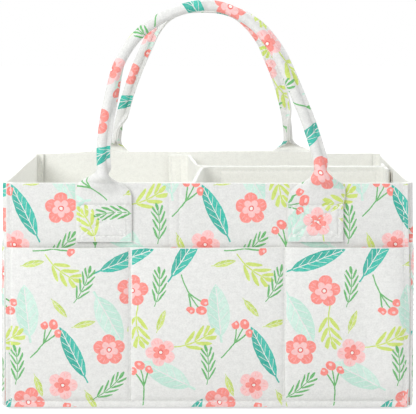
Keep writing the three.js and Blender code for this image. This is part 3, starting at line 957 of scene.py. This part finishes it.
# The handles
# One strip of thinner felt each. Both ends lie flat on the wall, sewn with a crossed box. Above them
# the strip curls and closes round a cotton cord, and its edges are sewn together behind.
handle_felt = 0.002
tab_half = 0.023
seam_allowance = 0.004
tab_arc_half = tab_half - seam_allowance
tube_radius = 0.0034
closed_half_angle = math.radians(163)
tube_arc_half = tube_radius * closed_half_angle
flare_foot = rim_height - 0.014
clear_above = rim_height + 0.006 - flare_foot
closed_from = 0.037
tab_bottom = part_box("front_handle_left_end")[0].z
tab_half_spacing = 0.0873
box_foot = 0.146
box_top = 0.1718
box_half = 0.0192
tab_pillow = 0.0006
crease_width = 0.0014
pucker = 0.0006
pucker_size = 0.0026
pucker_reach = 0.003
edge_press = 0.45
edge_press_fade = 0.003
# The two layers of the seam turn out behind, once the strip is this much closed, by a short bend
layers_turn_from = 0.6
layers_angle = math.radians(94)
layers_half_bend = 0.0006
section_points = 120
# How far the top of each arch leans in over the box. The back one leans out a little, so that the
# divider lifts past it.
arch_leans = {"front": 0.003, "back": -0.003}
lean_power = 1.3
# Where the outer and the inner half of the strip start to close, and over what length they do, at the
# left end and at the right end
front_flares = [[(0.008, 0.025), (0.002, 0.026)], [(0.008, 0.025), (-0.003, 0.037)]]
back_flares = [[(0.01, 0.0195), (0.01, 0.0195)], [(0.01, 0.0195), (0.01, 0.0195)]]
# A strip that has only begun to close is curled less deep than a part of a circle: this share of it at
# first, and more of it by this power
front_curl = (0.35, 3)
back_curl = (0.1, 4)
# How far the seam is turned round the grip, in degrees, at shares of the handle's length
front_seam_turns = [
    (0.03, 0), (0.085, -95), (0.13, -95), (0.36, 0), (0.45, 0), (0.75, 86), (0.915, 86), (0.97, 0),
]
back_seam_turns = [(0.09, 0), (0.15, -85), (0.28, -85), (0.5, -20), (0.8, 60), (0.84, 60), (0.91, 0)]
# The arch's line: shares of the tabs' half spacing to the side, and of its rise above the flare's foot
front_rise = 0.158
front_arch_shares = [
    (-0.975, 0), (-0.983, 0.16), (-0.979, 0.31), (-0.918, 0.517), (-0.8, 0.724), (-0.588, 0.877),
    (-0.25, 0.979), (0.057, 1), (0.384, 0.923), (0.622, 0.775), (0.882, 0.468), (0.985, 0.31),
    (1.05, 0.175), (1.046, 0.09), (1.018, 0),
]
back_rise = 0.1544
back_arch_shares = [
    (-1.071, 0), (-1.02, 0.16), (-0.985, 0.29), (-0.887, 0.492), (-0.775, 0.66), (-0.69, 0.765),
    (-0.605, 0.86), (-0.475, 0.942), (-0.3, 0.986), (-0.05, 1), (0.2, 0.985), (0.37, 0.94),
    (0.57, 0.815), (0.66, 0.71), (0.8, 0.5), (0.882, 0.3), (0.905, 0.16), (0.926, 0),
]


def strip_section(closing, first_depth, power):
    """Half of the strip's middle line at a share of the way from flat to closed: how far to the side
    and how far behind its front the felt is, at each distance from the strip's middle."""
    ease = smoothed(closing)
    arc_half = tab_arc_half + (tube_arc_half - tab_arc_half) * ease
    half_angle = closed_half_angle * ease
    fold = smoothed((closing - layers_turn_from) / (1 - layers_turn_from))
    fold *= closed_half_angle - layers_angle
    steps = np.linspace(0, arc_half + seam_allowance, section_points)
    middle = (steps[1:] + steps[:-1]) / 2
    turn = np.clip((middle - arc_half + layers_half_bend) / (2 * layers_half_bend), 0, 1)
    heading = half_angle * np.minimum(middle / arc_half, 1) - fold * turn * turn * (3 - 2 * turn)
    side = np.concatenate([[0], np.cumsum(np.cos(heading) * steps[1])])
    behind = np.concatenate([[0], np.cumsum(np.sin(heading) * steps[1])])
    behind *= first_depth + (1 - first_depth) * ease**power
    return {"ease": ease, "arc_half": arc_half, "steps": steps, "side": side, "behind": behind}


def turned(side, behind, twist):
    """A point of the section, turned round the grip's axis."""
    from_axis = behind - tube_radius
    cos = math.cos(twist)
    sin = math.sin(twist)
    return side * cos - from_axis * sin, side * sin + from_axis * cos + tube_radius


def arch(rise, shares):
    """The handle's line seen from the front, and the distance along it from one flare's foot."""
    corners = np.array([(side * tab_half_spacing, flare_foot + up * rise) for side, up in shares])
    padded = np.vstack([2 * corners[0] - corners[1], corners, 2 * corners[-1] - corners[-2]])
    points = []
    for a, b, c, d in zip(padded, padded[1:], padded[2:], padded[3:]):
        ab, bc, cd = (math.sqrt(np.linalg.norm(q - p)) for p, q in ((a, b), (b, c), (c, d)))
        leaving = ((b - a) / ab - (c - a) / (ab + bc) + (c - b) / bc) * bc
        arriving = ((c - b) / bc - (d - b) / (bc + cd) + (d - c) / cd) * bc
        for t in np.linspace(0, 1, 24, endpoint=False):
            points.append(
                (2 * t**3 - 3 * t**2 + 1) * b + (t**3 - 2 * t**2 + t) * leaving
                + (3 * t**2 - 2 * t**3) * c + (t**3 - t**2) * arriving
            )
    points = np.array(points + [corners[-1]])
    return points, distance_along(points)


cotton = flecked_finish("cotton cord", "ddd5c2", "f2ecdf", 0.9, 800, 4)
cord_start = 0.0423
cord_strands = 3
cord_lay = 0.02
cord_groove_reach = 0.0015
cord_groove_depth = 0.0005
cord_ring_spacing = 0.0014


def make_handle(prefix, facing, rise, shares, flares, curl, seam_turns, cut_from):
    points, distance = arch(rise, shares)
    sections = [strip_section(n / 100, *curl) for n in range(101)]
    length = distance[-1]
    wall_face = half_depth + layer_gap + handle_felt / 2

    def closed_at(v):
        """The sections of the strip's outer and inner half at v."""
        from_foot = min(v, length - v)
        end = flares[int(v > length / 2)]
        return [sections[round(100 * clamped((from_foot - start) / run))] for start, run in end]

    def twist_at(v):
        for (start, before), (end, after) in zip(seam_turns, seam_turns[1:]):
            if v / length < end:
                share = smoothed((v / length - start) / (end - start))
                return math.radians(before + (after - before) * share)
        return math.radians(seam_turns[-1][1])

    def on_arch(v):
        return np.array([np.interp(v, distance, points[:, k]) for k in (0, 1)])

    @functools.cache
    def line_at(v):
        """The middle of the strip at v, the way it runs there, its two halves, how far each half is
        held back to the wall beyond its own curl, and its twist."""
        held = min(max(v, 0), length)
        near = 0.0015
        x, z = on_arch(held)
        run = on_arch(min(held + near, length)) - on_arch(max(held - near, 0))
        run /= np.linalg.norm(run)
        beyond = max(-v, v - length, 0)
        if beyond:
            z -= beyond
            run = np.array([0, 1.0 if v < 0 else -1.0])
        low = min(v, clear_above) if v < length / 2 else max(v, length - clear_above)
        reaches = [
            max(turned(way * half["side"], half["behind"], twist_at(low))[1])
            for way, half in zip((-1, 1), closed_at(low))
        ]
        held_back = [(max(reaches) - own) * (1 - half["ease"]) for own, half in zip(reaches, closed_at(v))]
        lean_share = max(z - rim_height, 0) / (flare_foot + rise - rim_height)
        y = wall_face + max(reaches) - arch_leans[prefix] * lean_share**lean_power
        return x, y, z, run, closed_at(v), held_back, twist_at(v)

    def past_box(u, v):
        """How far outside the crossed box of stitches, to its sides and below it, a point is."""
        return max(abs(u) - box_half, box_foot - flare_foot - min(v, length - v))

    def raised(u, v):
        """How far the tab's felt puffs up between its rows of stitches, and puckers beside them."""
        from_foot = min(v, length - v)
        flat_share = 1 - smoothed((from_foot + 0.002) / 0.014)
        if flat_share == 0:
            return 0
        sewn = seam_distance(u, v, tab_seams)
        above_box = smoothed((from_foot - (box_top - flare_foot)) / 0.004)
        beside_box = smoothed(past_box(u, v) / edge_press_fade) * (1 - above_box)
        puff = tab_pillow * (1 - beside_box) * (1 + 0.7 * above_box)
        puff *= 1 - math.exp(-(sewn / crease_width) ** 2)
        puckered = noise.noise(Vector((u, v, facing)) / pucker_size)
        puff += pucker * puckered * math.exp(-(sewn / pucker_reach) ** 2)
        return puff * flat_share

    def on_strip(u, v):
        x, y, z, run, halves, held_back, twist = line_at(v)
        half = halves[int(u > 0)]
        along = abs(u) * half["arc_half"] / tab_arc_half
        if abs(u) > tab_arc_half:
            along = half["arc_half"] + abs(u) - tab_arc_half
        side = math.copysign(np.interp(along, half["steps"], half["side"]), u)
        side, behind = turned(side, np.interp(along, half["steps"], half["behind"]), twist)
        behind += held_back[int(u > 0)] * (u / tab_half) ** 2
        return Vector((x + run[1] * side, facing * (y - behind + raised(u, v)), z - run[0] * side))

    def on_cloth(u, v):
        return v, -u * closed_at(v)[int(-facing * u > 0)]["arc_half"] / tab_arc_half

    def edge_pressing(u, v):
        return 1 - edge_press * smoothed(past_box(u, v) / edge_press_fade)

    tab_seams = []
    for start, way in ((0, -1), (length, 1)):
        foot = start + way * (flare_foot - box_foot)
        top = start + way * (flare_foot - box_top)
        tab_seams += [
            ((-box_half, foot), (box_half, foot)), ((-box_half, top), (box_half, top)),
            ((-box_half, foot), (-box_half, top)), ((box_half, foot), (box_half, top)),
            ((-box_half, foot), (box_half, top)), ((box_half, foot), (-box_half, top)),
        ]
    closing_seam = tab_half - 0.0014
    end_lines = lines(
        tab_bottom - flare_foot, closed_from, 0.0011, [box_foot - flare_foot, box_top - flare_foot]
    )
    grip_lines = lines(closed_from, length - closed_from, 0.0022)
    strip, rows = felt_piece(
        f"{prefix}_handle_felt", lines(-tab_half, tab_half, 0.001, [-box_half, box_half]),
        end_lines + grip_lines[1:-1] + [length - v for v in reversed(end_lines)],
        lambda u, v: on_strip(-facing * u, v), handle_felt, printed,
        [
            *tab_seams, ((-closing_seam, closed_from), (-closing_seam, length / 2)),
            ((closing_seam, length / 2), (closing_seam, length - closed_from)),
        ],
        cut_from=cut_from, on_cloth=on_cloth, pressing=edge_pressing,
    )
    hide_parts(f"{prefix}_handle_left_end", f"{prefix}_handle_right_end", f"{prefix}_handle_grip")
    for part in (strip, *rows):
        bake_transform(part)

    # The cord: three cotton strands, twisted
    around = 18
    rings = round((length - 2 * cord_start) / cord_ring_spacing)
    cord_points = []
    for ring in range(rings + 1):
        v = cord_start + (length - 2 * cord_start) * ring / rings
        x, y, z, run = line_at(v)[:4]
        for n in range(around):
            angle = 2 * math.pi * n / around
            strand = abs(math.cos(cord_strands / 2 * (angle - 2 * math.pi * v / cord_lay)))
            reach = cord_groove_reach + cord_groove_depth * strand
            side = reach * math.sin(angle)
            behind = tube_radius - reach * math.cos(angle)
            cord_points.append((x + run[1] * side, facing * (y - behind), z - run[0] * side))
    cord_faces = [
        [ring * around + n, ring * around + (n + 1) % around,
         (ring + 1) * around + (n + 1) % around, (ring + 1) * around + n]
        for ring in range(rings) for n in range(around)
    ]
    cord_faces += [list(range(around))[::-1], list(range(rings * around, (rings + 1) * around))]
    mesh = bpy.data.meshes.new(f"{prefix}_handle_cord")
    mesh.from_pydata(cord_points, [], cord_faces)
    mesh.polygons.foreach_set("use_smooth", [True] * len(mesh.polygons))
    mesh.materials.append(cotton)
    cord = bpy.data.objects.new(f"{prefix}_handle_cord", mesh)
    bpy.context.collection.objects.link(cord)
    bpy.ops.object.select_all(action="DESELECT")
    bpy.context.view_layer.objects.active = cord
    cord.select_set(True)
    bpy.ops.object.mode_set(mode="EDIT")
    bpy.ops.mesh.select_all(action="SELECT")
    bpy.ops.mesh.normals_make_consistent(inside=False)
    bpy.ops.object.mode_set(mode="OBJECT")
    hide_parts(f"{prefix}_handle_core")
    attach(cord, f"{prefix}_handle")


make_handle(
    "front", -1, front_rise, front_arch_shares, front_flares, front_curl, front_seam_turns, (0.06, 0.034)
)
make_handle("back", 1, back_rise, back_arch_shares, back_flares, back_curl, back_seam_turns, (0.5, 0.18))
